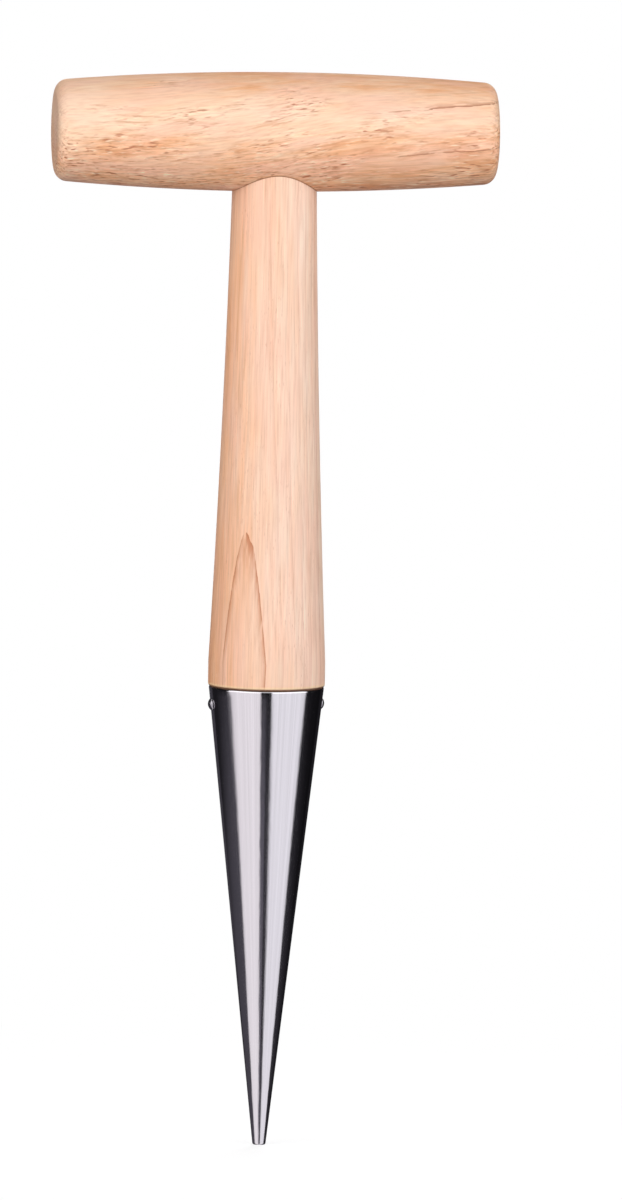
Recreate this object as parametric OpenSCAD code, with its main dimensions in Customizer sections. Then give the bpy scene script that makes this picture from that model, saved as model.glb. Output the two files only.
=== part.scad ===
// T-handled dibber: a turned crossbar glued across the top of a flared wooden shaft,
// and a hollow steel cone nailed over the shaft's tapered lower end.
// The origin is the centre of the blunt tip. Z points up the shaft and X runs along the crossbar.

/* [Overall] */
// Height from the blunt tip to the top of the crossbar
overall_h = 280; // [250:1:320]

/* [Crossbar] */
// Length from end face to end face
bar_l = 115; // [90:1:150]
// Diameter at the middle of the barrel
bar_d = 31; // [28:0.5:38]
// Diameter that the barrel's curve reaches at the end faces
bar_end_d = 26; // [20:0.2:27.6]
// Radius of the rounded edge round each end face
bar_edge_r = 3.4; // [1.5:0.1:6]

/* [Shaft] */
// Diameter where the shaft enters the crossbar
neck_d = 22; // [18:0.2:25]
// Diameter of the straight collar above the cone
collar_d = 30.4; // [30.2:0.2:36]
// Height of the straight collar
collar_h = 6.8; // [3:0.1:15]
// How far the flare's side dips inside a straight line between its ends
flare_dip = 0.42; // [0:0.02:1]
// Radius that breaks the collar's lower edge
collar_edge_r = 0.8; // [0.3:0.1:1.2]

/* [Tenon] */
// Diameter of the round tenon on top of the shaft
tenon_d = 15; // [10:0.5:17]
// Length of the tenon above the shaft's shoulder
tenon_l = 17; // [8:0.5:20]
// How far the flat seat is sunk past the highest point of the joint line
seat_sink = 0.6; // [0.2:0.1:2]

/* [Cone] */
// Length of the steel cone from rim to tip
cone_l = 120; // [90:1:150]
// Diameter of the cone at its rim
cone_d = 30; // [26:0.2:30.2]
// Diameter of the blunt tip
tip_d = 3.4; // [2.5:0.1:6]
// Thickness of the sheet
sheet_t = 1; // [0.6:0.1:1.2]
// Length of the tip that is closed solid by the weld
tip_solid_l = 7; // [3:0.5:15]
// Radius that breaks the edge of the tip
tip_edge_r = 0.5; // [0.2:0.1:1]
// Radius that breaks the outer edge of the rim
rim_edge_r = 0.35; // [0.2:0.05:0.5]

/* [Plug] */
// Length of the wooden plug inside the cone, below the rim
plug_l = 45; // [25:1:80]

/* [Nails] */
// Turn of the pair of nails about the shaft, away from the crossbar's direction
nail_turn = 8; // [-90:1:90]
// Distance of each nail's centre below the rim
nail_drop = 4.6; // [3:0.1:12]
// Diameter of the domed head
nail_head_d = 3.2; // [2.4:0.1:4.5]
// Height of the domed head above the steel
nail_head_h = 1; // [0.6:0.1:1.4]
// Height of the upright edge under the dome
nail_head_edge = 0.2; // [0.1:0.05:0.4]
// Diameter of the shank
nail_shank_d = 1.6; // [1.2:0.1:2]
// Length of the nail under its head
nail_l = 10; // [6:0.5:11]
// Length of the point at the end of the shank
nail_point_l = 1.6; // [0.8:0.1:3]

/* [Fits] */
// Gap all round the tenon and the neck, filled by glue
glue_gap = 0.1; // [0.05:0.05:0.3]
// Gap between the end of the tenon and the end of its bore
tenon_end_gap = 0.5; // [0.3:0.1:1.5]
// Gap between the wooden plug and the inside of the cone
plug_gap = 0.2; // [0.05:0.05:0.3]
// Gap all round a nail's shank, in the steel and in the wood
nail_gap = 0.05; // [0.02:0.01:0.2]
// Gap under the middle of a nail's flat head, which lies on the round steel
nail_seat_gap = 0.02; // [0.01:0.01:0.1]

/* [Hidden] */
$fn = 128;
wood_colour = "#f0c4a0";
steel_colour = "#c9c6cc";
nail_colour = "#a9a6ac";

bar_z = overall_h - bar_d / 2;
bar_low_z = overall_h - bar_d;
bar_rise = (bar_d - bar_end_d) / 2;
bar_arc_r = (pow(bar_l / 2, 2) + pow(bar_rise, 2)) / (2 * bar_rise);

// Centre of the rounded edge, which touches the end face and, from inside, the barrel's arc.
// It passes the arc by edge_past, because two circles that only just touch leave a sliver.
edge_past = 0.001;
edge_c_z = bar_l / 2 - bar_edge_r;
edge_reach = bar_arc_r - bar_edge_r + edge_past;
edge_c_r = bar_d / 2 - bar_arc_r + sqrt(pow(edge_reach, 2) - pow(edge_c_z, 2));
edge_c_angle = asin(edge_c_z / edge_reach);

// The neck's joint line is highest at the front and back of the crossbar.
// The seat above it is kept to the hundredth, so that both pieces have the same height there.
joint_line_z = bar_z - sqrt(pow(bar_d, 2) - pow(neck_d, 2)) / 2;
seat_z = round(100 * (joint_line_z + seat_sink)) / 100;
collar_top_z = cone_l + collar_h;

// The cone's side, and the sheet's thickness as measured level
cone_slope = (cone_d - tip_d) / 2 / cone_l;
cone_angle = atan(cone_slope);
sheet_level_t = sheet_t / cos(cone_angle);
plug_low_z = cone_l - plug_l;
nail_z = cone_l - nail_drop;

// Level below the nails that divides the long sides, so that a mesh of them stays round by the holes
side_level_z = nail_z - 2 * nail_head_d;

// Margin by which a cut runs past the surface that it opens
cut_past = 1;
flare_steps = 16;
edge_steps = 6;

function cone_r(z) = tip_d / 2 + cone_slope * z;
function cone_inside_r(z) = cone_r(z) - sheet_level_t;
function plug_r(z) = cone_inside_r(z) - plug_gap;

// Radius of the flare at a share t of the way down from the neck to the collar
function flare_r(t) = neck_d / 2 + (collar_d - neck_d) / 2 * t - 4 * flare_dip * t * (1 - t);

// Centre, at height z, of a rounded edge that touches the cone's side from inside
function side_edge_centre(z, r) = [cone_r(z) - r / cos(cone_angle), z];

// Points along an arc, for a small rounded edge of a profile
function arc(centre, r, from, to) =
    [for (i = [0:edge_steps]) let (a = from + (to - from) * i / edge_steps)
        centre + r * [cos(a), sin(a)]];

module bar_corner() {
    // What the rounded edge takes off the barrel's corner
    reach = 2 * bar_edge_r;
    difference() {
        translate([edge_c_r, edge_c_z])
            polygon([
                [0, 0],
                reach * [cos(edge_c_angle), sin(edge_c_angle)],
                [reach, reach],
                [0, reach]
            ]);
        translate([edge_c_r, edge_c_z]) circle(r = bar_edge_r);
    }
}

module bar_profile() {
    difference() {
        intersection() {
            translate([0, -bar_l / 2]) square([bar_d, bar_l]);
            translate([bar_d / 2 - bar_arc_r, 0]) circle(r = bar_arc_r, $fn = 720);
        }
        bar_corner();
        mirror([0, 1]) bar_corner();
    }
}

module crossbar() {
    color(wood_colour)
        difference() {
            translate([0, 0, bar_z]) rotate([0, 90, 0]) rotate_extrude() bar_profile();
            translate([0, 0, bar_low_z - cut_past])
                cylinder(d = neck_d + 2 * glue_gap, h = seat_z - bar_low_z + cut_past);
            translate([0, 0, seat_z - cut_past])
                cylinder(d = tenon_d + 2 * glue_gap, h = tenon_l + tenon_end_gap + cut_past);
        }
}

module shaft() {
    flare_h = bar_low_z - collar_top_z;
    flare = [for (i = [0:flare_steps]) let (t = i / flare_steps)
        [flare_r(t), bar_low_z - t * flare_h]];
    collar_edge = arc([collar_d / 2 - collar_edge_r, cone_l + collar_edge_r], collar_edge_r, 0, -90);
    color(wood_colour)
        difference() {
            union() {
                rotate_extrude()
                    polygon(concat(
                        [[0, seat_z], [neck_d / 2, seat_z]],
                        flare,
                        collar_edge,
                        [for (z = [cone_l, side_level_z, plug_low_z]) [plug_r(z), z]],
                        [[0, plug_low_z]]
                    ));
                translate([0, 0, seat_z - cut_past]) cylinder(d = tenon_d, h = tenon_l + cut_past);
            }
            for (side = [0, 180]) at_nail(side) nail_hole();
        }
}

module steel_cone() {
    tip_edge = arc(side_edge_centre(tip_edge_r, tip_edge_r), tip_edge_r, -90, -cone_angle);
    rim_edge = arc(side_edge_centre(cone_l - rim_edge_r, rim_edge_r), rim_edge_r, -cone_angle, 90);
    color(steel_colour)
        difference() {
            rotate_extrude()
                polygon(concat(
                    [[0, 0]],
                    tip_edge,
                    [[cone_r(side_level_z), side_level_z]],
                    rim_edge,
                    [for (z = [cone_l, side_level_z, tip_solid_l]) [cone_inside_r(z), z]],
                    [[0, tip_solid_l]]
                ));
            for (side = [0, 180]) at_nail(side) nail_hole();
        }
}

// Puts its children on the cone's surface, with Z pointing out of the steel
module at_nail(side) {
    rotate([0, 0, side + nail_turn])
        translate([cone_r(nail_z), 0, nail_z])
            rotate([0, 90 + cone_angle, 0])
                children();
}

module nail_hole() {
    translate([0, 0, -nail_l - nail_gap])
        cylinder(d = nail_shank_d + 2 * nail_gap, h = nail_l + nail_gap + cut_past);
}

module nail() {
    dome_h = nail_head_h - nail_head_edge;
    dome_r = (pow(nail_head_d / 2, 2) + pow(dome_h, 2)) / (2 * dome_h);
    rotate_extrude()
        intersection() {
            translate([0, nail_head_h - dome_r]) circle(r = dome_r);
            square([nail_head_d / 2, nail_head_h]);
        }
    translate([0, 0, nail_point_l - nail_l]) cylinder(d = nail_shank_d, h = nail_l - nail_point_l);
    translate([0, 0, -nail_l]) cylinder(d1 = 0, d2 = nail_shank_d, h = nail_point_l);
}

module rim_nails() {
    color(nail_colour)
        for (side = [0, 180]) at_nail(side) translate([0, 0, nail_seat_gap]) nail();
}

crossbar();
shaft();
steel_cone();
rim_nails();
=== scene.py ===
import math

import bpy
from mathutils import Matrix, Vector


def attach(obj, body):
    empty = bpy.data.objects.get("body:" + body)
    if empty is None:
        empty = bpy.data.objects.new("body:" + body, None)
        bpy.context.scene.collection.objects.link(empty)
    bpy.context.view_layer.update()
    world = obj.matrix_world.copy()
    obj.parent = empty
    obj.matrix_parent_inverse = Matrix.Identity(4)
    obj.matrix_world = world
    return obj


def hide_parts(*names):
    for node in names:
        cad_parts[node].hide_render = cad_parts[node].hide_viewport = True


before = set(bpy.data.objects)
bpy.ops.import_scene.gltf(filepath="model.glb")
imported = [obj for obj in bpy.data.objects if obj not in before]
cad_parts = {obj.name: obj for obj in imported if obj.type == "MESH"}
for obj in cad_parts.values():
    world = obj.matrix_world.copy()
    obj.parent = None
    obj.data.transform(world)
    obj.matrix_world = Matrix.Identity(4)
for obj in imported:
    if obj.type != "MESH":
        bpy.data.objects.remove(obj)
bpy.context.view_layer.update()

# A garden dibber with a T handle: a turned crossbar, a turned shaft, a polished steel cone and two nails.
# Sizes in the dictionaries are millimetres and degrees; mm turns them into the scene's metres.
mm = 0.001
deg = math.radians(1)


def linear(hexColour):
    parts = [int(hexColour[i:i + 2], 16) / 255 for i in (1, 3, 5)]
    return tuple(c / 12.92 if c <= 0.04045 else ((c + 0.055) / 1.055) ** 2.4 for c in parts) + (1.0,)


# Links a node or a socket to an input, or sets a plain value on it. A node means its first output in use.
def feed(tree, socket, value):
    if isinstance(value, bpy.types.Node):
        value = next(s for s in value.outputs if s.enabled)
    if isinstance(value, bpy.types.NodeSocket):
        tree.links.new(value, socket)
    else:
        socket.default_value = value


# Adds a node. A name keys an input that is in use, and a list fills the inputs in order. A kind without the
# word Node is one of the shader nodes.
def addNode(tree, kind, inputs=(), **settings):
    node = tree.nodes.new(kind if "Node" in kind else "ShaderNode" + kind)
    for name, value in settings.items():
        setattr(node, name, value)
    for key, value in inputs.items() if isinstance(inputs, dict) else enumerate(inputs):
        if isinstance(key, int):
            feed(tree, node.inputs[key], value)
        else:
            feed(tree, next(s for s in node.inputs if s.name == key and s.enabled), value)
    return node


def setRamp(node, stops):
    points = node.color_ramp.elements
    while len(points) < len(stops):
        points.new(0.5)
    for point, (position, colour) in zip(points, stops):
        point.position = position
        point.color = linear(colour)


view = {
    "azimuth": -6.0,      # the camera stands a little to the left
    "elevation": 5.5,
    "roll": 0.95,
    "distance": 5000,
    "lens": 577,
    "sensor": 36,
    "clip": (100, 50000),
    "aim": (11.3, 0, 142.6),
}


# Puts a camera or a lamp at a place, looking along a direction.
def stand(name, data, place, direction, roll=0.0):
    holder = bpy.data.objects.new(name, data)
    bpy.context.scene.collection.objects.link(holder)
    turn = direction.to_track_quat("-Z", "Y").to_matrix().to_4x4() @ Matrix.Rotation(roll * deg, 4, "Z")
    holder.matrix_world = Matrix.Translation(place) @ turn
    return holder


def makeCamera():
    camera = bpy.data.cameras.new("camera")
    camera.lens = view["lens"]
    camera.sensor_width = view["sensor"]
    camera.sensor_fit = "AUTO"
    camera.clip_start = view["clip"][0] * mm
    camera.clip_end = view["clip"][1] * mm
    a, e = view["azimuth"] * deg, view["elevation"] * deg
    back = Vector((math.sin(a) * math.cos(e), -math.cos(a) * math.cos(e), math.sin(e)))
    place = Vector(view["aim"]) * mm + back * view["distance"] * mm
    bpy.context.scene.camera = stand("camera", camera, place, -back, view["roll"])


stage = {
    "ambient": 0.15,            # light from all round, as seen by dull surfaces
    "background": 1.0,          # white, as seen by the camera and in gloss
    "floorRadius": 1500,
    "floorSides": 96,
    "floorColour": "#949290",   # grey paper; its camera side is lifted to white, less the shadow
    "floorShadow": 0.42,        # share of the light that the camera sees fall on the floor
    "floorGlow": 0.64,          # white that the camera sees there besides
    "shadowCore": 65,           # these two hold inside this radius and fade out by the next
    "shadowRadius": 260,
    "panelRadius": 900,
    "cardRadius": 920,
    "cardSteps": 24,
    "cardTint": "#eae4f8",
    "streakScale": 0.08,
    "streakLift": 0.3,          # the streaks brighten by this share of what they dim
    "lampAim": (0, 0, 200),
}

# Soft panels and black cards stand round the object, at angles from the camera's side of it. The high panels
# light it. The low ones are seen in gloss only and reach below the floor, because the cone looks downwards.
# Each pair of values holds at the pair of heights that "marks" gives.
softPanels = [
    {"name": "panel_left", "from": -88, "to": -8, "low": 90, "high": 980, "lights": True,
     "colour": "#fffdfd", "strength": 1.97, "streaks": 0.0,
     "start": {"at": (-82, -82), "soft": (3, 3), "marks": (980, 90)},
     "end": {"at": (-11, -11), "soft": (3, 3), "marks": (980, 90)}},
    {"name": "panel_right", "from": 8, "to": 99, "low": 90, "high": 980, "lights": True,
     "colour": "#fdfdff", "strength": 2.12, "streaks": 0.0,
     "start": {"at": (12, 12), "soft": (3, 3), "marks": (980, 90)},
     "end": {"at": (90, 90), "soft": (3, 3), "marks": (980, 90)}},
    {"name": "panel_left_low", "from": -92, "to": -4, "low": -2400, "high": 90, "lights": False,
     "colour": "#fffbfe", "strength": 1.3, "streaks": 0.14,
     "start": {"at": (-83.5, -75.5), "soft": (3, 12), "marks": (-72, -125)},
     "end": {"at": (-10.5, -12.5), "soft": (2, 8), "marks": (-185, -275)}},
    {"name": "panel_right_low", "from": 4, "to": 99, "low": -2400, "high": 90, "lights": False,
     "colour": "#fbfaff", "strength": 1.32, "streaks": 0.14,
     "start": {"at": (12, 17), "soft": (1.5, 14), "marks": (-188, -218)},
     "end": {"at": (88, 85.5), "soft": (3, 6), "marks": (-80, -150)}},
]

# Between the shares of its width that "turn" gives, a card's shade goes over to "far" times as much.
blackCards = [
    {"name": "card_front", "from": -24, "to": 22, "low": -2400, "high": 420,
     "marks": (-170, -216), "shades": (0.015, 0.21), "far": 0.3, "turn": (0.5, 0.56)},
    {"name": "card_rear_left", "from": -60, "to": -141, "low": -2400, "high": 1100,
     "marks": (-78, -150), "shades": (0.021, 0.12), "far": 0.85, "turn": (0.2, 0.9)},
    {"name": "card_rear_right", "from": 78, "to": 143, "low": -2400, "high": 1100,
     "marks": (-100, -200), "shades": (0.013, 0.05), "far": 0.6, "turn": (0.2, 0.9)},
    {"name": "card_rear_high", "from": 143, "to": 219, "low": -120, "high": 6000,
     "marks": (-120, 6000), "shades": (0.02, 0.02), "far": 4.0, "turn": (0.42, 0.62)},
    {"name": "card_rear_low_right", "from": 143, "to": 180, "low": -2400, "high": -120,
     "marks": (-120, -2400), "shades": (0.02, 0.02), "far": 18.0, "turn": (0.3, 1.0)},
    {"name": "card_rear_low_left", "from": 219, "to": 180, "low": -2400, "high": -120,
     "marks": (-120, -2400), "shades": (0.02, 0.02), "far": 18.0, "turn": (0.3, 1.0)},
]


def bentCard(settings, radius):
    steps = stage["cardSteps"]
    points = []
    faces = []
    for i in range(steps + 1):
        a = (view["azimuth"] + settings["from"] + (settings["to"] - settings["from"]) * i / steps) * deg
        for z in (settings["low"], settings["high"]):
            points.append((math.sin(a) * radius * mm, -math.cos(a) * radius * mm, z * mm))
        if i:
            faces.append((2 * i - 2, 2 * i, 2 * i + 1, 2 * i - 1))
    mesh = bpy.data.meshes.new(settings["name"])
    mesh.from_pydata(points, [], faces)
    uv = mesh.uv_layers.new(name="UVMap")
    for loop in mesh.loops:
        uv.data[loop.index].uv = (loop.vertex_index // 2 / steps, loop.vertex_index % 2)
    card = bpy.data.objects.new(settings["name"], mesh)
    bpy.context.scene.collection.objects.link(card)
    card.visible_camera = False
    card.visible_transmission = False
    card.visible_volume_scatter = False
    card.visible_shadow = False
    return card


def emptyMaterial(name):
    material = bpy.data.materials.new(name)
    material.use_nodes = True
    material.node_tree.nodes.clear()
    return material, material.node_tree


# A point's height on a card, in metres, and its share of the card's width
def placeOnCard(tree):
    coords = addNode(tree, "TexCoord").outputs
    height = addNode(tree, "SeparateXYZ", [coords["Object"]]).outputs["Z"]
    across = addNode(tree, "SeparateXYZ", [coords["UV"]]).outputs["X"]
    return height, across


# A panel glows between its start and end angle, with faint upright streaks, and is clear outside them.
def makePanel(panel):
    card = bentCard(panel, stage["panelRadius"])
    card.visible_diffuse = panel["lights"]
    material, tree = emptyMaterial(panel["name"])
    height, across = placeOnCard(tree)
    angle = addNode(tree, "MapRange", [across, 0.0, 1.0, panel["from"], panel["to"]])
    streaks = addNode(tree, "CombineXYZ", [angle, 0.0, height])
    streaks = addNode(tree, "TexNoise", {"Vector": streaks, "Scale": stage["streakScale"], "Detail": 3.0})
    dimmest = panel["strength"] * (1 - panel["streaks"])
    brightest = panel["strength"] * (1 + panel["streaks"] * stage["streakLift"])
    glow = addNode(tree, "MapRange", [streaks, 0.3, 0.7, dimmest, brightest])
    shares = []
    for name, side in (("start", 1), ("end", -1)):
        edge = panel[name]
        marks = [mark * mm for mark in edge["marks"]]
        place = addNode(tree, "MapRange", [height, *marks, *edge["at"]])
        soft = addNode(tree, "MapRange", [height, *marks, *edge["soft"]])
        inside = addNode(tree, "Math", [angle, place], operation="SUBTRACT")
        inside = addNode(tree, "Math", [inside, soft], operation="DIVIDE")
        shares.append(addNode(tree, "MapRange", [inside, -0.5 * side, 0.5 * side, 0.0, 1.0],
                              interpolation_type="SMOOTHSTEP"))
    lit = addNode(tree, "Math", shares, operation="MULTIPLY")
    light = addNode(tree, "Emission", {"Color": linear(panel["colour"]), "Strength": glow})
    clear = addNode(tree, "BsdfTransparent")
    addNode(tree, "OutputMaterial", {"Surface": addNode(tree, "MixShader", [lit, clear, light])})
    card.data.materials.append(material)


# A black card is seen in gloss only.
def makeBlackCard(piece):
    card = bentCard(piece, stage["cardRadius"])
    card.visible_diffuse = False
    material, tree = emptyMaterial(piece["name"])
    height, across = placeOnCard(tree)
    marks = [mark * mm for mark in piece["marks"]]
    shade = addNode(tree, "MapRange", [height, *marks, *piece["shades"]])
    far = addNode(tree, "MapRange", [across, *piece["turn"], 1.0, piece["far"]])
    glow = addNode(tree, "Math", [shade, far], operation="MULTIPLY")
    light = addNode(tree, "Emission", {"Color": linear(stage["cardTint"]), "Strength": glow})
    addNode(tree, "OutputMaterial", {"Surface": light})
    card.data.materials.append(material)


# The floor is pale and dull. The camera sees it as white, less the shadow near the object.
def makeFloor():
    sides, radius = stage["floorSides"], stage["floorRadius"] * mm
    angles = [i * 360 / sides * deg for i in range(sides)]
    mesh = bpy.data.meshes.new("floor")
    mesh.from_pydata([(math.cos(a) * radius, math.sin(a) * radius, 0) for a in angles], [],
                     [tuple(range(sides))])
    floor = bpy.data.objects.new("floor", mesh)
    bpy.context.scene.collection.objects.link(floor)
    floor.visible_glossy = False
    material, tree = emptyMaterial("floor_paper")
    coords = addNode(tree, "TexCoord").outputs
    away = addNode(tree, "VectorMath", [coords["Object"]], operation="LENGTH").outputs["Value"]
    near, far = stage["shadowCore"] * mm, stage["shadowRadius"] * mm
    glow = addNode(tree, "MapRange", [away, near, far, stage["floorGlow"], 1.0],
                   interpolation_type="SMOOTHSTEP")
    shadow = addNode(tree, "MapRange", [away, near, far, stage["floorShadow"], 0.0],
                     interpolation_type="SMOOTHSTEP")
    lit = addNode(tree, "BsdfDiffuse", {"Color": addNode(tree, "CombineColor", [shadow, shadow, shadow])})
    white = addNode(tree, "Emission", {"Strength": glow})
    seenSide = addNode(tree, "AddShader", [lit, white])
    paper = addNode(tree, "BsdfDiffuse", {"Color": linear(stage["floorColour"])})
    seen = addNode(tree, "LightPath").outputs["Is Camera Ray"]
    addNode(tree, "OutputMaterial", {"Surface": addNode(tree, "MixShader", [seen, paper, seenSide])})
    floor.data.materials.append(material)


def makeWorld():
    world = bpy.data.worlds.new("studio")
    world.use_nodes = True
    tree = world.node_tree
    tree.nodes.clear()
    path = addNode(tree, "LightPath").outputs
    lookers = addNode(tree, "Math", [path["Is Camera Ray"], path["Is Glossy Ray"]], operation="ADD")
    lookers = addNode(tree, "Math", [lookers, path["Is Transmission Ray"]], operation="ADD", use_clamp=True)
    ambient = addNode(tree, "Background", {"Color": (1, 1, 1, 1), "Strength": stage["ambient"]})
    backdrop = addNode(tree, "Background", {"Color": (1, 1, 1, 1), "Strength": stage["background"]})
    addNode(tree, "OutputWorld", {"Surface": addNode(tree, "MixShader", [lookers, ambient, backdrop])})
    bpy.context.scene.world = world


# Lamps light the dull surfaces and aren't seen in gloss.
lamps = [
    {"name": "fill", "place": (-1300, -900, 1100), "size": 1000, "power": 5.2},
    {"name": "back", "place": (500, 1700, 1100), "size": 1400, "power": 29.0},
    {"name": "low", "place": (-200, -1600, 150), "size": 700, "power": 2.6},
]


def makeLamps():
    aim = Vector(stage["lampAim"]) * mm
    for lamp in lamps:
        light = bpy.data.lights.new(lamp["name"], "AREA")
        light.shape = "SQUARE"
        light.size = lamp["size"] * mm
        light.energy = lamp["power"]
        place = Vector(lamp["place"]) * mm
        holder = stand(lamp["name"], light, place, aim - place)
        holder.visible_glossy = False
        holder.visible_camera = False


bpy.context.scene.view_settings.view_transform = "Standard"
makeCamera()
for panel in softPanels:
    makePanel(panel)
for piece in blackCards:
    makeBlackCard(piece)
makeFloor()
makeWorld()
makeLamps()
print("stage: camera, cards, floor, world and lamps made")


lathes = {
    "weld": 0.002,        # points closer than this become one, which closes the poles and the seam
    "crease": 35,         # edges sharper than this are drawn sharp
}


def newTree(name, sockets):
    tree = bpy.data.node_groups.new(name, "GeometryNodeTree")
    tree.is_modifier = True
    for label, kind in sockets:
        tree.interface.new_socket(name=label, in_out="INPUT", socket_type="NodeSocket" + kind)
    tree.interface.new_socket(name="Geometry", in_out="OUTPUT", socket_type="NodeSocketGeometry")
    return tree


# Turns a profile, a line of points at (radius, 0, height), about Z; then turns and places it, and bores it.
def buildLathe():
    tree = newTree("lathe", [
        ("Geometry", "Geometry"), ("Segments", "Int"), ("Turn", "Vector"), ("Place", "Vector"),
        ("Bored", "Bool"), ("Bore", "Object"), ("Crease", "Float"), ("Material", "Material")])
    given = addNode(tree, "NodeGroupInput").outputs
    profile = given["Geometry"]

    # A grid with one row for each point of the profile is wrapped round the axis.
    count = addNode(tree, "GeometryNodeAttributeDomainSize", {"Geometry": profile}, component="MESH")
    around = addNode(tree, "Math", [given["Segments"], 1.0], operation="ADD")
    grid = addNode(tree, "GeometryNodeMeshGrid", {
        "Size X": 1.0, "Size Y": 1.0, "Vertices X": count.outputs["Point Count"], "Vertices Y": around})
    index = addNode(tree, "GeometryNodeInputIndex")
    row = addNode(tree, "Math", [index, around], operation="DIVIDE")
    row = addNode(tree, "Math", [row], operation="FLOOR")
    angle = addNode(tree, "Math", [index, around], operation="MODULO")
    angle = addNode(tree, "Math", [angle, given["Segments"]], operation="DIVIDE")
    angle = addNode(tree, "Math", [angle, 2 * math.pi], operation="MULTIPLY")
    point = addNode(tree, "GeometryNodeSampleIndex", {
        "Geometry": profile, "Value": addNode(tree, "GeometryNodeInputPosition"), "Index": row},
        data_type="FLOAT_VECTOR", domain="POINT")
    point = addNode(tree, "SeparateXYZ", [point]).outputs
    spoke = [addNode(tree, "Math", [angle], operation=name) for name in ("COSINE", "SINE")]
    level = [addNode(tree, "Math", [point["X"], part], operation="MULTIPLY") for part in spoke]
    place = addNode(tree, "CombineXYZ", [*level, point["Z"]])
    solid = addNode(tree, "GeometryNodeSetPosition", {"Geometry": grid, "Position": place})
    closed = addNode(tree, "GeometryNodeMergeByDistance", {
        "Geometry": solid, "Distance": lathes["weld"] * mm})
    placed = addNode(tree, "GeometryNodeTransform", {
        "Geometry": closed, "Translation": given["Place"], "Rotation": given["Turn"]})

    cutter = addNode(tree, "GeometryNodeObjectInfo", {"Object": given["Bore"]}, transform_space="ORIGINAL")
    bored = addNode(tree, "GeometryNodeMeshBoolean", {
        "Mesh 1": placed, "Mesh 2": cutter.outputs["Geometry"]}, operation="DIFFERENCE", solver="EXACT")
    chosen = addNode(tree, "GeometryNodeSwitch", {
        "Switch": given["Bored"], "False": placed, "True": bored.outputs["Mesh"]}, input_type="GEOMETRY")

    smooth = addNode(tree, "GeometryNodeSetShadeSmooth", {
        "Geometry": chosen, "Shade Smooth": True}, domain="FACE")
    bend = addNode(tree, "GeometryNodeInputMeshEdgeAngle").outputs["Unsigned Angle"]
    sharp = addNode(tree, "FunctionNodeCompare", {"A": bend, "B": given["Crease"]},
                    data_type="FLOAT", operation="GREATER_THAN")
    creased = addNode(tree, "GeometryNodeSetShadeSmooth", {
        "Geometry": smooth, "Selection": sharp, "Shade Smooth": False}, domain="EDGE")
    whole = addNode(tree, "GeometryNodeRealizeInstances", {"Geometry": creased})
    finished = addNode(tree, "GeometryNodeSetMaterial", {"Geometry": whole, "Material": given["Material"]})
    addNode(tree, "NodeGroupOutput", {"Geometry": finished})
    return tree


# Turns one nail, or one nail hole, and puts copies of it round the cone, each square to the steel.
def buildNailRing(lathe):
    tree = newTree("nailRing", [
        ("Geometry", "Geometry"), ("Segments", "Int"), ("Count", "Int"),
        ("Radius", "Float"), ("Height", "Float"), ("Tilt", "Float"), ("First Angle", "Float"),
        ("Crease", "Float"), ("Material", "Material")])
    given = addNode(tree, "NodeGroupInput").outputs
    passed = {name: given[name] for name in ("Geometry", "Segments", "Crease", "Material")}
    one = addNode(tree, "GeometryNodeGroup", passed, node_tree=lathe)
    step = addNode(tree, "Math", [2 * math.pi, given["Count"]], operation="DIVIDE")
    index = addNode(tree, "GeometryNodeInputIndex")
    turn = addNode(tree, "Math", [index, step, given["First Angle"]], operation="MULTIPLY_ADD")
    spoke = [addNode(tree, "Math", [turn], operation=name) for name in ("COSINE", "SINE")]
    spoke = addNode(tree, "CombineXYZ", spoke)
    spoke = addNode(tree, "VectorMath", {0: spoke, "Scale": given["Radius"]}, operation="SCALE")
    level = addNode(tree, "CombineXYZ", {"Z": given["Height"]})
    place = addNode(tree, "VectorMath", [spoke, level], operation="ADD")
    points = addNode(tree, "GeometryNodePoints", {"Count": given["Count"], "Position": place})
    aim = addNode(tree, "CombineXYZ", {"Y": given["Tilt"], "Z": turn})
    ring = addNode(tree, "GeometryNodeInstanceOnPoints", {
        "Points": points, "Instance": one, "Rotation": aim})
    whole = addNode(tree, "GeometryNodeRealizeInstances", {"Geometry": ring})
    finished = addNode(tree, "GeometryNodeSetMaterial", {"Geometry": whole, "Material": given["Material"]})
    addNode(tree, "NodeGroupOutput", {"Geometry": finished})
    return tree


# Gives a profile to a node tree and keeps the result as a plain mesh. Profile points go down the outside.
def turned(name, profile, tree, values):
    line = bpy.data.meshes.new(name)
    points = [(r * mm, 0, z * mm) for r, z in profile]
    line.from_pydata(points, [(i, i + 1) for i in range(len(points) - 1)], [])
    piece = bpy.data.objects.new(name, line)
    bpy.context.scene.collection.objects.link(piece)
    modifier = piece.modifiers.new(tree.name, "NODES")
    modifier.node_group = tree
    for item in tree.interface.items_tree:
        if item.item_type == "SOCKET" and item.in_out == "INPUT" and item.name in values:
            modifier[item.identifier] = values[item.name]
    depsgraph = bpy.context.evaluated_depsgraph_get()
    mesh = bpy.data.meshes.new_from_object(piece.evaluated_get(depsgraph), preserve_all_data_layers=True,
                                           depsgraph=depsgraph)
    piece.modifiers.remove(modifier)
    piece.data = mesh
    mesh.name = name
    return piece


# Points along an arc of a profile. A pair of radii, across and upright, makes it an ellipse.
def arc(centre, radius, start, end, steps):
    across, upright = radius if isinstance(radius, tuple) else (radius, radius)
    angles = [(start + (end - start) * i / steps) * deg for i in range(steps + 1)]
    return [(centre[0] + across * math.cos(a), centre[1] + upright * math.sin(a)) for a in angles]


def dress(piece, node):
    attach(piece, "root")
    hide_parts(node)
    print("piece:", piece.name, len(piece.data.polygons), "faces")


lathe = buildLathe()
nailRing = buildNailRing(lathe)


def startMaterial(name):
    material = bpy.data.materials.new(name)
    material.use_nodes = True
    return material, material.node_tree, material.node_tree.nodes["Principled BSDF"]


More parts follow.
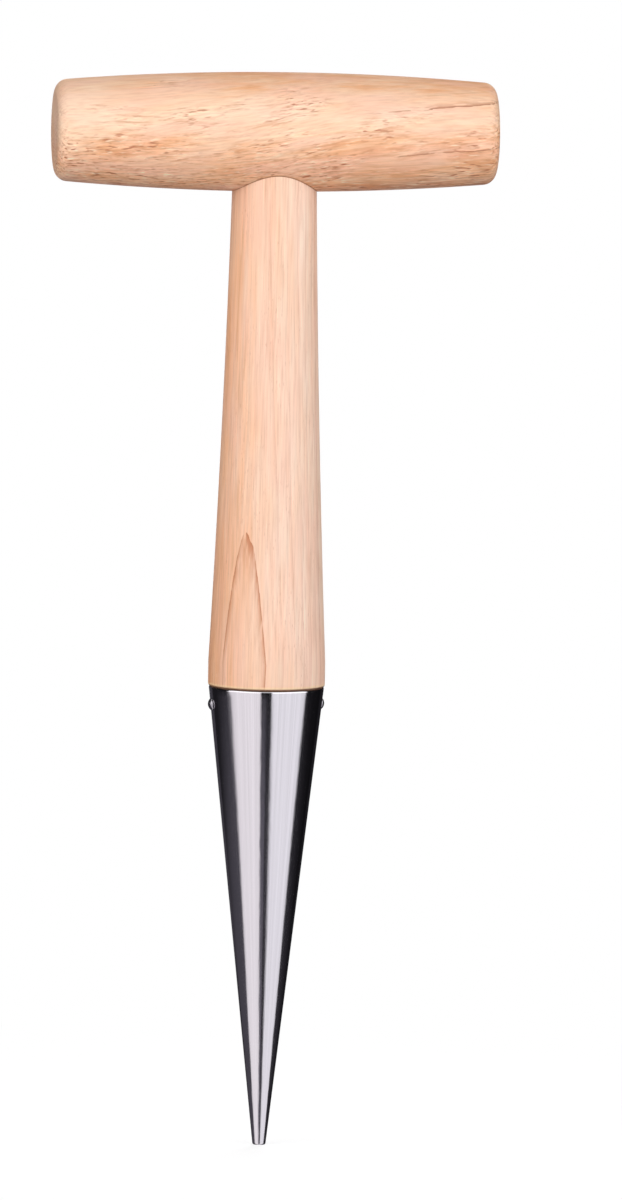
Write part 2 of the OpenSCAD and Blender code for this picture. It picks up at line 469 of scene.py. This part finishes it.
def setShader(tree, shader, values):
    for name, value in values.items():
        feed(tree, shader.inputs[name], value)


# What the crossbar's wood and the shaft's have in common. A pair of sizes is the width and the length of the
# spots of a noise, and a pair of levels is where on that noise something starts and is full.
rubberwood = {
    "noiseRoughness": 0.55,
    "fibre": (0.3, 20),
    "breaks": (0.9, 8),                 # where a growth line is broken
    "open": (7, 20), "openFor": (0.4, 0.66), "livelyFor": (0.36, 0.64),
    "blushSpots": (5, 22), "blushFor": (0.42, 0.68),
    "poreSoft": 0.14,
    "endGrainFor": (0.6, 0.98),         # how squarely a face must cut the grain
    "lift": 0.3,                        # a pale stroke lightens the wood by this share of its depth
    "roughness": (0.46, 0.36), "ior": 1.5, "specular": 0.24,
    "poreRelief": 1.5, "reliefDepth": 0.1,
}


# Noise whose spots are some millimetres wide and long; the shift takes each noise from a place of its own.
def spots(tree, source, size, detail, shift):
    place = addNode(tree, "Mapping", {
        "Vector": source, "Scale": (1 / size[0], 1 / size[0], 1 / size[1]),
        "Location": (shift, shift * 1.7, shift * 2.3)})
    return addNode(tree, "TexNoise", {
        "Vector": place, "Scale": 1.0, "Detail": detail, "Roughness": rubberwood["noiseRoughness"]})


# The wood's own axes: Z along the grain, Y across the layers. The grain sweeps across the layers in the
# middle of the piece, and it wavers everywhere. Given back: how far along a point lies, and its place.
def followGrain(tree, fromMiddle, look):
    grain = Vector(look["grain"]).normalized()
    across = Vector(look["layerNormal"])
    across = (across - grain * across.dot(grain)).normalized()
    turn = Matrix((across.cross(grain), across, grain))
    straight = addNode(tree, "Mapping", {"Vector": fromMiddle, "Rotation": turn.to_euler()})
    along = addNode(tree, "SeparateXYZ", [straight]).outputs["Z"]
    height, length = look["sweep"]
    climb = addNode(tree, "Math", [along, length], operation="DIVIDE")
    climb = addNode(tree, "Math", [climb], operation="TANH")
    climb = addNode(tree, "Math", [climb, -height], operation="MULTIPLY")
    climb = addNode(tree, "CombineXYZ", [0.0, climb])
    swept = addNode(tree, "VectorMath", [straight, climb], operation="ADD")
    waver = spots(tree, swept, look["waverSpots"], 1, look["seed"]).outputs["Color"]
    waver = addNode(tree, "VectorMath", [waver, (0.5, 0.5, 0.5)], operation="SUBTRACT")
    reach = (look["waver"] * 2, look["waver"] * 2, 0)
    return along, addNode(tree, "VectorMath", [waver, reach, swept], operation="MULTIPLY_ADD")


# Tone, from orange through tan and base to pale: in blotches and bands; in painted light and shade across the
# piece, lighter where the light falls and more orange away from it; deeper at the edges, as painted shade;
# and drifting from one end to the other
def woodTone(tree, fromMiddle, blotch, band, look):
    squared = addNode(tree, "VectorMath", [fromMiddle, fromMiddle], operation="MULTIPLY")
    paintedLightSwing, paintedEdgeShade, drift = (
        addNode(tree, "VectorMath", [place, look[name]], operation="DOT_PRODUCT").outputs["Value"]
        for place, name in ((fromMiddle, "paintedLightSlope"), (squared, "paintedEdgeShade"), (fromMiddle, "drift")))
    paintedLightSwing = addNode(tree, "Math", [paintedLightSwing], operation="SINE")
    middling = look["tone"] - 0.5 * (look["blotchDepth"] + look["bandDepth"])
    tone = addNode(tree, "Math", [paintedLightSwing, look["paintedLightSwing"], middling], operation="MULTIPLY_ADD")
    tone = addNode(tree, "Math", [tone, paintedEdgeShade], operation="SUBTRACT")
    tone = addNode(tree, "Math", [tone, drift], operation="ADD")
    tone = addNode(tree, "Math", [blotch, look["blotchDepth"], tone], operation="MULTIPLY_ADD")
    return addNode(tree, "Math", [band, look["bandDepth"], tone], operation="MULTIPLY_ADD")


# Growth layers, measured from a far pith; some of their lines are strong, and all are ragged and broken.
# A line starts sharply and fades into its layer, with a faint shade ahead of it.
def growthLines(tree, wood, along, band, look):
    axes = addNode(tree, "SeparateXYZ", [wood]).outputs
    level = addNode(tree, "CombineXYZ", [axes["X"], axes["Y"]])
    pith = (0, -look["pithDistance"], 0)
    fromPith = addNode(tree, "VectorMath", [level, pith], operation="DISTANCE").outputs["Value"]
    fromPith = addNode(tree, "Math", [band, look["ragged"], fromPith], operation="MULTIPLY_ADD")
    first = look["pithDistance"] + look["layerAt"] + look["ragged"] / 2
    layer = addNode(tree, "Math", [fromPith, first], operation="SUBTRACT")
    layer = addNode(tree, "Math", [layer, look["layerThickness"]], operation="DIVIDE")
    line = addNode(tree, "ValToRGB", {"Fac": addNode(tree, "Math", [layer], operation="FRACT")})
    width = look["lineWidth"] / look["layerThickness"]
    setRamp(line, [(0.0, "#ffffff"), (width * 0.6, "#b0b0b0"), (width * 1.5, "#404040"),
                   (width * 4, "#101010"), (0.86, "#000000"), (1.0, "#383838")])
    number = addNode(tree, "Math", [layer], operation="FLOOR")
    number = addNode(tree, "Math", [number, look["strongEvery"]], operation="FLOORED_MODULO")
    strength = addNode(tree, "MapRange", [number, 0.0, 0.5, look["lineDepth"], look["weakLines"]])
    breaks = spots(tree, wood, rubberwood["breaks"], 2, look["seed"] + 23)
    unbroken = addNode(tree, "MapRange", [breaks, *look["lineBreaks"], 0.0, 1.0])
    begun = addNode(tree, "MapRange", [along, *look["lineFrom"], 0.0, 1.0])
    for share in (unbroken, begun):
        strength = addNode(tree, "Math", [strength, share], operation="MULTIPLY")
    return addNode(tree, "Math", [line, strength], operation="MULTIPLY", use_clamp=True)


# Pores: dashes about half a millimetre wide, wider than life so that they show, each with a painted highlight
# beside it, a light copy of the dash moved a little. They lie thick where the wood is open.
def poreDashes(tree, wood, openness, look):
    field = addNode(tree, "MapRange", [openness, *rubberwood["openFor"], look["poreLeast"], 1.0])
    cut = look["poreCut"]
    dashes = []
    for shift in (0.0, look["poreGlint"]):
        beside = addNode(tree, "VectorMath", [wood, (shift * 0.5, shift, 0)], operation="ADD")
        dash = spots(tree, beside, look["pores"], 1.5, look["seed"] + 31)
        dash = addNode(tree, "MapRange", [dash, cut, cut + rubberwood["poreSoft"], 0.0, look["poreDepth"]])
        dashes.append(addNode(tree, "Math", [dash, field], operation="MULTIPLY", use_clamp=True))
    return dashes


# Rubberwood, turned, sanded and satin lacquered: pale and warm with a pink tinge, dull with a soft broad
# sheen, fine fibres along the piece, short reddish pores and thin growth lines where it is cut across them.
def satinRubberwood(name, look):
    material, tree, shader = startMaterial(name)
    coords = addNode(tree, "TexCoord").outputs
    seed = look["seed"]

    # Millimetres from the middle of the piece, then along and across the grain
    fromMiddle = addNode(tree, "Mapping", {
        "Vector": coords["Object"], "Location": [-c for c in look["middle"]], "Scale": (1000, 1000, 1000)})
    along, wood = followGrain(tree, fromMiddle, look)
    blotch = spots(tree, wood, look["blotch"], 2, seed + 3)
    band = spots(tree, wood, look["band"], 3, seed + 5)
    fibre = spots(tree, wood, rubberwood["fibre"], 3, seed + 11)
    stroke = spots(tree, wood, look["stroke"], 2.5, seed + 19)
    openness = addNode(tree, "VectorMath", [fromMiddle, look["opener"]],
                       operation="DOT_PRODUCT").outputs["Value"]
    openness = addNode(tree, "Math", [spots(tree, wood, rubberwood["open"], 1.5, seed + 37), openness],
                       operation="ADD")

    colour = addNode(tree, "ValToRGB", {"Fac": woodTone(tree, fromMiddle, blotch, band, look)})
    setRamp(colour, [(0.0, look["orange"]), (0.25, look["tan"]), (0.5, look["base"]), (0.8, look["pale"])])
    blush = spots(tree, wood, rubberwood["blushSpots"], 1.5, seed + 43)
    blush = addNode(tree, "MapRange", [blush, *rubberwood["blushFor"], 0.0, look["blushDepth"]])
    pore, poreGlint = poreDashes(tree, wood, openness, look)
    layers = [(blush, "blush"), (growthLines(tree, wood, along, band, look), "line"),
              (poreGlint, "poreGlintColour"), (pore, "pore")]
    for share, over in layers:
        colour = addNode(tree, "Mix", {"Factor": share, "A": colour, "B": linear(look[over])},
                         data_type="RGBA")

    # Seams: a dark ring round the neck, the joint's gap with painted shade in it; or the collar's pale band
    # and, under it, painted shade on the collar's dark underside where it meets the steel
    height = addNode(tree, "SeparateXYZ", [fromMiddle]).outputs["Z"]
    for seam in look["seams"]:
        reach = addNode(tree, "VectorMath", [fromMiddle, seam["weights"]], operation="MULTIPLY")
        reach = addNode(tree, "VectorMath", [reach], operation="LENGTH").outputs["Value"]
        share = addNode(tree, "MapRange", [reach, seam["from"], seam["to"], seam["share"], 0.0])
        under = addNode(tree, "MapRange", [height, seam["under"], seam["under"] - 1, 0.0, 1.0])
        share = addNode(tree, "Math", [share, under], operation="MULTIPLY")
        colour = addNode(tree, "Mix", {"Factor": share, "A": colour, "B": linear(seam["colour"])},
                         data_type="RGBA")

    # Strokes and fibres lighten it, or darken it to a deeper hue; end grain drinks the lacquer and is darker.
    lively = addNode(tree, "MapRange", [openness, *rubberwood["livelyFor"], look["strokeLeast"], 1.0])
    stroked = addNode(tree, "MapRange", [stroke, 0.3, 0.7, -look["strokeDepth"], look["strokeDepth"]])
    fibrous = addNode(tree, "MapRange", [fibre, 0.3, 0.7, -look["fibreDepth"], look["fibreDepth"]])
    depth = addNode(tree, "Math", [stroked, lively, fibrous], operation="MULTIPLY_ADD")
    deep = addNode(tree, "Math", [depth, 0.0], operation="MAXIMUM")
    colour = addNode(tree, "Mix", {"Factor": deep, "A": colour, "B": linear(look["deep"])}, data_type="RGBA")
    light = addNode(tree, "Math", [depth, 0.0], operation="MINIMUM")
    shade = addNode(tree, "Math", [light, -rubberwood["lift"], 1.0], operation="MULTIPLY_ADD")
    facing = addNode(tree, "VectorMath", [coords["Normal"], Vector(look["grain"]).normalized()],
                     operation="DOT_PRODUCT").outputs["Value"]
    facing = addNode(tree, "Math", [facing], operation="ABSOLUTE")
    endGrain = addNode(tree, "MapRange", [facing, *rubberwood["endGrainFor"], 1.0, look["endGrain"]])
    shade = addNode(tree, "Math", [shade, endGrain], operation="MULTIPLY")
    colour = addNode(tree, "VectorMath", {0: colour, "Scale": shade}, operation="SCALE")

    gloss = addNode(tree, "MapRange", [fibre, 0.3, 0.7, *rubberwood["roughness"]])
    bump = addNode(tree, "Math", [stroke, -1.0, fibre], operation="MULTIPLY_ADD")
    bump = addNode(tree, "Math", [pore, -rubberwood["poreRelief"], bump], operation="MULTIPLY_ADD")
    relief = addNode(tree, "Bump", {
        "Height": bump, "Strength": look["relief"], "Distance": rubberwood["reliefDepth"] * mm})
    setShader(tree, shader, {
        "Base Color": colour, "Roughness": gloss, "IOR": rubberwood["ior"],
        "Specular IOR Level": rubberwood["specular"], "Normal": relief})
    return material


# How one piece's wood looks. Pairs are the width and length of spots, as in rubberwood, and three numbers are
# weights on the way from the middle along X, Y and Z.
crossbarLook = {
    "base": "#fbd0ae", "pale": "#fddabd", "tan": "#f6bd92", "orange": "#e8a070", "deep": "#cf8a60",
    # The last colour on the next line is a painted highlight beside each pore
    "line": "#ab623c", "pore": "#b45c35", "poreGlintColour": "#ffe6c9",
    "blush": "#fbcab3", "blushDepth": 0.5,
    "middle": (0, 0, 264.5), "seed": 3.1,
    "grain": (1, 0, 0.04), "layerNormal": (-0.04, 0, 1),
    "sweep": (3.2, 22),                       # how high the grain climbs, and over what length
    "waver": 0.7, "waverSpots": (9, 26),
    # Painted light and shade in the tone: lightest a little above the middle, more orange below it and at the
    # top, deeper at the top and bottom edges
    "tone": 0.49, "paintedLightSlope": (0, 0, 0.224), "paintedLightSwing": 0.19, "paintedEdgeShade": (0, 0, 0.0009), "drift": (-0.0012, 0, 0),
    "blotch": (6, 20), "blotchDepth": 0.9, "band": (1.3, 14), "bandDepth": 0.7,
    "stroke": (0.6, 5), "strokeDepth": 0.58, "strokeLeast": 0.28, "fibreDepth": 0.12,
    "opener": (-0.0004, 0, -0.014),           # the pores lie thick on the low side
    "pores": (0.6, 3.0), "poreCut": 0.57, "poreDepth": 0.9, "poreLeast": 0.0, "poreGlint": 0.45,
    "pithDistance": 60, "layerAt": 3.6, "layerThickness": 2.72, "strongEvery": 4, "weakLines": 0.2,
    "ragged": 1.1, "lineWidth": 0.75, "lineDepth": 0.9, "lineBreaks": (0.42, 0.5), "lineFrom": (16, 38),
    "endGrain": 0.88, "relief": 0.6,
    "seams": [
        # A dark ring on the crossbar round the neck: the joint's gap and painted shade in it
        {"weights": (1, 1, 0), "from": 11.2, "to": 11.6, "share": 0.8, "colour": "#a96a42", "under": -4}],
}
shaftLook = {
    "base": "#fbd0b3", "pale": "#fde0cb", "tan": "#f9c097", "orange": "#f0ab7c", "deep": "#d29a75",
    # The last colour on the next line is a painted highlight beside each pore
    "line": "#c3744a", "pore": "#b8734e", "poreGlintColour": "#ffe6d2",
    "blush": "#fbcab4", "blushDepth": 0.45,
    "middle": (0, 0, 0), "seed": 8.4,
    "grain": (0.00605, 0.01007, 1), "layerNormal": (-0.515, -0.857, 0.01175),
    "sweep": (0, 40),
    "waver": 0.12, "waverSpots": (14, 60),
    # Painted light and shade in the tone: lighter on the right, more orange on the left, deeper at both side
    # edges
    "tone": 0.6, "paintedLightSlope": (0.08, 0, 0), "paintedLightSwing": 0.25, "paintedEdgeShade": (0.0007, 0, 0), "drift": (0, 0, 0),
    "blotch": (4, 34), "blotchDepth": 0.6, "band": (1.1, 50), "bandDepth": 0.4,
    "stroke": (0.55, 16), "strokeDepth": 0.36, "strokeLeast": 0.5, "fibreDepth": 0.16,
    "opener": (0, 0, 0),
    "pores": (0.34, 2.0), "poreCut": 0.62, "poreDepth": 0.4, "poreLeast": 0.2, "poreGlint": 0.3,
    "pithDistance": 70, "layerAt": 15.55, "layerThickness": 2.2, "strongEvery": 6, "weakLines": 0.25,
    "ragged": 0.15, "lineWidth": 0.26, "lineDepth": 0.9, "lineBreaks": (0.3, 0.5), "lineFrom": (-2, -1),
    "endGrain": 0.9, "relief": 0.4,
    "seams": [
        {"weights": (0, 0, 1), "from": 120.95, "to": 121.35, "share": 0.6, "colour": "#ffdcae", "under": 200},
        # Painted shade on the collar's rounded underside, where it meets the steel rim
        {"weights": (0, 0, 1), "from": 120.45, "to": 120.75, "share": 0.9, "colour": "#64402f", "under": 200},
    ],
}


crossbar = {
    "length": 115, "diameter": 31, "endDiameter": 26, "edgeRadius": 3.4, "axisHeight": 264.5,
    "segments": 256, "steps": 120, "edgeSteps": 14,
    "endRing": 0.15,          # a ring this far inside the rounded edge keeps the end face flat
    "seatDiameter": 22.2, "seatTop": 254.18, "boreDiameter": 15.2, "boreTop": 271.68,
    "socketLow": 240, "socketSegments": 192,
    "socketTurn": 1,          # so that none of the socket's corners lies on a line of the barrel
}


def makeCrossbar():
    half, radius = crossbar["length"] / 2, crossbar["diameter"] / 2
    rise = radius - crossbar["endDiameter"] / 2
    barrel = (half ** 2 + rise ** 2) / (2 * rise)   # radius of the barrel's long arc
    edge = crossbar["edgeRadius"]
    edgeHeight = half - edge
    edgeOut = radius - barrel + math.sqrt((barrel - edge) ** 2 - edgeHeight ** 2)
    edgeAngle = math.asin(edgeHeight / (barrel - edge)) / deg
    corner = arc((edgeOut, edgeHeight), edge, 90, edgeAngle, crossbar["edgeSteps"])
    reach = corner[-1][1]
    side = []
    for i in range(1, crossbar["steps"]):
        z = reach * (1 - 2 * i / crossbar["steps"])
        side.append((radius - barrel + math.sqrt(barrel ** 2 - z ** 2), z))
    top = [(0, half), (edgeOut / 2, half), (edgeOut - crossbar["endRing"], half)] + corner
    profile = top + side + [(r, -z) for r, z in reversed(top)]
    bore, seat = crossbar["boreDiameter"] / 2, crossbar["seatDiameter"] / 2
    socket = turned("socket", [
        (0, crossbar["boreTop"]), (bore, crossbar["boreTop"]), (bore, crossbar["seatTop"]),
        (seat, crossbar["seatTop"]), (seat, crossbar["socketLow"]), (0, crossbar["socketLow"])],
        lathe, {"Segments": crossbar["socketSegments"], "Turn": (0, 0, crossbar["socketTurn"] * deg)})
    piece = turned("turned_crossbar", profile, lathe, {
        "Segments": crossbar["segments"], "Crease": lathes["crease"] * deg,
        "Turn": (0, 90 * deg, 0), "Place": (0, 0, crossbar["axisHeight"] * mm),
        "Bored": True, "Bore": socket,
        "Material": satinRubberwood("rubberwood_crossbar_turned_satin", crossbarLook)})
    bpy.data.objects.remove(socket)
    dress(piece, "crossbar")


nails = {
    "count": 2, "turn": 8, "drop": 4.6, "headDiameter": 3.2, "headHeight": 1.0, "headEdge": 0.2,
    "headChamfer": 0.08, "shankDiameter": 1.6, "length": 10, "pointLength": 1.6,
    "gap": 0.05, "seatGap": 0.02, "holePast": 1, "segments": 64, "headSteps": 14, "holeSegments": 32,
    "crease": 40,
    "tints": ("#8d8a90", "#b4b1b7"), "roughness": (0.16, 0.34), "dentScale": 2.2, "dentDepth": 0.03,
}
cone = {
    "length": 120, "rimDiameter": 30, "tipDiameter": 3.4, "sheet": 1, "tipSolid": 7, "tipEdge": 0.5,
    "rimEdge": (0.2, 0.42),   # the rim's edge is rounded over more height than width
    "segments": 256, "step": 2.0, "rimSteps": 10, "tipSteps": 8,
}
coneSlope = (cone["rimDiameter"] - cone["tipDiameter"]) / 2 / cone["length"]
coneAngle = math.atan(coneSlope) / deg
coneSheet = cone["sheet"] / math.cos(coneAngle * deg)   # the sheet's thickness as measured level


def coneRadius(z):
    return cone["tipDiameter"] / 2 + coneSlope * z


def nailPlaces(outwards):
    z = cone["length"] - nails["drop"]
    return {
        "Count": nails["count"], "Tilt": (90 + coneAngle) * deg, "First Angle": nails["turn"] * deg,
        "Radius": (coneRadius(z) + outwards * math.cos(coneAngle * deg)) * mm,
        "Height": (z - outwards * math.sin(coneAngle * deg)) * mm}


def makeNailHoles():
    radius = nails["shankDiameter"] / 2 + nails["gap"]
    high, low = nails["holePast"], -nails["length"] - nails["gap"]
    return turned("nail_holes", [(0, high), (radius, high), (radius, low), (0, low)], nailRing,
                  dict(nailPlaces(0), Segments=nails["holeSegments"]))


# Steel, stamped and tumbled: darker and duller than the cone, with a bright spot on each dome
def tumbledSteel():
    material, tree, shader = startMaterial("steel_nail_tumbled")
    place = addNode(tree, "Mapping", {
        "Vector": addNode(tree, "TexCoord").outputs["Object"], "Scale": (1000, 1000, 1000)})
    dents = addNode(tree, "TexNoise", {"Vector": place, "Scale": nails["dentScale"], "Detail": 3})
    dark, pale = (linear(tint) for tint in nails["tints"])
    tint = addNode(tree, "Mix", {"Factor": dents, "A": dark, "B": pale}, data_type="RGBA")
    gloss = addNode(tree, "MapRange", [dents, 0.0, 1.0, *nails["roughness"]])
    relief = addNode(tree, "Bump", {"Height": dents, "Strength": 0.3, "Distance": nails["dentDepth"] * mm})
    setShader(tree, shader, {"Base Color": tint, "Roughness": gloss, "Metallic": 1.0, "Normal": relief})
    return material


def makeNails():
    head, edge, chamfer = nails["headDiameter"] / 2, nails["headEdge"], nails["headChamfer"]
    dome = nails["headHeight"] - edge
    domeRadius = (head ** 2 + dome ** 2) / (2 * dome)
    shank = nails["shankDiameter"] / 2
    sweep = math.asin(head / domeRadius) / deg
    profile = arc((0, nails["headHeight"] - domeRadius), domeRadius, 90, 90 - sweep, nails["headSteps"])
    profile[0] = (0, nails["headHeight"])
    profile += [(head, chamfer), (head - chamfer, 0), (shank, 0),
                (shank, nails["pointLength"] - nails["length"]), (0, -nails["length"])]
    piece = turned("domed_nails", profile, nailRing, dict(
        nailPlaces(nails["seatGap"]), Segments=nails["segments"], Crease=nails["crease"] * deg,
        Material=tumbledSteel()))
    dress(piece, "rim_nails")


shaft = {
    "neckDiameter": 22, "neckTop": 254.18, "shoulder": 249, "collarDiameter": 30.4, "collarTop": 126.8,
    "flareDip": 0.42, "collarEdge": 0.8,
    "tenonDiameter": 15, "tenonTop": 271.18, "tenonChamfer": 0.5,
    "plugLow": 75, "plugGap": 0.2,
    "collarRings": (124.8, 121.6),   # heights of rings that keep the collar's side straight
    "segments": 256, "flareSteps": 80, "edgeSteps": 8, "plugSteps": 20,
}


def makeShaft(holes):
    neck, collar = shaft["neckDiameter"] / 2, shaft["collarDiameter"] / 2
    tenon, edge, chamfer = shaft["tenonDiameter"] / 2, shaft["collarEdge"], shaft["tenonChamfer"]
    profile = [(0, shaft["tenonTop"]), (tenon - chamfer, shaft["tenonTop"]),
               (tenon, shaft["tenonTop"] - chamfer), (tenon, shaft["neckTop"]), (neck, shaft["neckTop"])]
    for i in range(shaft["flareSteps"] + 1):
        t = i / shaft["flareSteps"]
        profile.append((neck + (collar - neck) * t - 4 * shaft["flareDip"] * t * (1 - t),
                        shaft["shoulder"] + (shaft["collarTop"] - shaft["shoulder"]) * t))
    profile += [(collar, z) for z in shaft["collarRings"]]
    profile += arc((collar - edge, cone["length"] + edge), edge, 0, -90, shaft["edgeSteps"])
    plugLength = cone["length"] - shaft["plugLow"]
    for i in range(shaft["plugSteps"] + 1):
        z = cone["length"] - plugLength * i / shaft["plugSteps"]
        profile.append((coneRadius(z) - coneSheet - shaft["plugGap"], z))
    profile.append((0, shaft["plugLow"]))
    piece = turned("turned_shaft", profile, lathe, {
        "Segments": shaft["segments"], "Crease": lathes["crease"] * deg, "Bored": True, "Bore": holes,
        "Material": satinRubberwood("rubberwood_shaft_turned_satin", shaftLook)})
    dress(piece, "shaft")


# The noises of the cone's steel: the width and length of their spots, and a shift that keeps them apart
polish = {
    "fine": (0.3, 60, 3), "broad": (1.6, 90, 40), "waves": (7, 22, 80),
    "radius": 15.0,                  # of the roll on which the sheet's width is measured
    "tints": ("#bbb8bc", "#d8d5d9"), "roughness": (0.08, 0.17), "lineDepth": 0.008, "waveDepth": 0.05,
}


# Stainless steel, rolled and polished lengthwise: a clear reflection with hard bright and dark bands that
# waver with the sheet, roughened by fine polishing lines that run together at the tip. The lines are drawn
# 0.3 mm wide, coarser than life.
def polishedStainless():
    material, tree, shader = startMaterial("stainless_steel_polished")
    place = addNode(tree, "Mapping", {
        "Vector": addNode(tree, "TexCoord").outputs["Object"], "Scale": (1000, 1000, 1000)})
    axes = addNode(tree, "SeparateXYZ", [place]).outputs
    level = addNode(tree, "CombineXYZ", [axes["X"], axes["Y"]])
    spoke = addNode(tree, "VectorMath", [level], operation="NORMALIZE")
    spoke = addNode(tree, "VectorMath", {0: spoke, "Scale": polish["radius"]}, operation="SCALE")

    # Noise on the unrolled sheet, whose spots narrow towards the tip as the sheet does
    def sheetNoise(width, length, shift):
        low = addNode(tree, "Math", [axes["Z"], width / length, shift], operation="MULTIPLY_ADD")
        low = addNode(tree, "CombineXYZ", [0.0, 0.0, low])
        spot = addNode(tree, "VectorMath", [spoke, low], operation="ADD")
        return addNode(tree, "TexNoise", {
            "Vector": spot, "Scale": 1 / width, "Detail": 3.0, "Roughness": 0.6})

    fine, broad, waves = (sheetNoise(*polish[name]) for name in ("fine", "broad", "waves"))
    dark, pale = (linear(tint) for tint in polish["tints"])
    tint = addNode(tree, "Mix", {"Factor": fine, "A": dark, "B": pale}, data_type="RGBA")
    gloss = addNode(tree, "MapRange", [fine, 0.3, 0.7, *polish["roughness"]])
    lined = addNode(tree, "Math", [broad, 1.5, fine], operation="MULTIPLY_ADD")
    lined = addNode(tree, "Bump", {
        "Height": lined, "Strength": 0.3, "Distance": polish["lineDepth"] * mm})
    waved = addNode(tree, "Bump", {
        "Height": waves, "Strength": 1.0, "Distance": polish["waveDepth"] * mm, "Normal": lined})
    setShader(tree, shader, {"Base Color": tint, "Roughness": gloss, "Metallic": 1.0, "Normal": waved})
    return material


# The cone's profile goes up the inside of the sheet, over the rim and down the outside.
def makeCone(holes):
    length, step, tipEdge = cone["length"], cone["step"], cone["tipEdge"]
    levels = [length - step * i for i in range(int(length / step))]
    inner = [cone["tipSolid"]] + [z for z in reversed(levels) if z > cone["tipSolid"] + step]
    wall = [(0, cone["tipSolid"])] + [(coneRadius(z) - coneSheet, z) for z in inner]
    across, down = cone["rimEdge"]
    lowest = -math.atan(down / across * coneSlope) / deg
    centre = coneRadius(length - down + down * math.sin(lowest * deg)) - across * math.cos(lowest * deg)
    rim = arc((centre, length - down), (across, down), 90, lowest, cone["rimSteps"])
    side = [(coneRadius(z), z) for z in levels[1:]]
    tipCentre = coneRadius(tipEdge) - tipEdge / math.cos(coneAngle * deg)
    tip = arc((tipCentre, tipEdge), tipEdge, -coneAngle, -90, cone["tipSteps"])
    piece = turned("polished_cone", wall + rim + side + tip + [(0, 0)], lathe, {
        "Segments": cone["segments"], "Crease": lathes["crease"] * deg, "Bored": True, "Bore": holes,
        "Material": polishedStainless()})
    dress(piece, "steel_cone")


makeCrossbar()
nailHoles = makeNailHoles()
makeShaft(nailHoles)
makeCone(nailHoles)
bpy.data.objects.remove(nailHoles)
makeNails()
print("pieces: crossbar, shaft, cone and nails made")
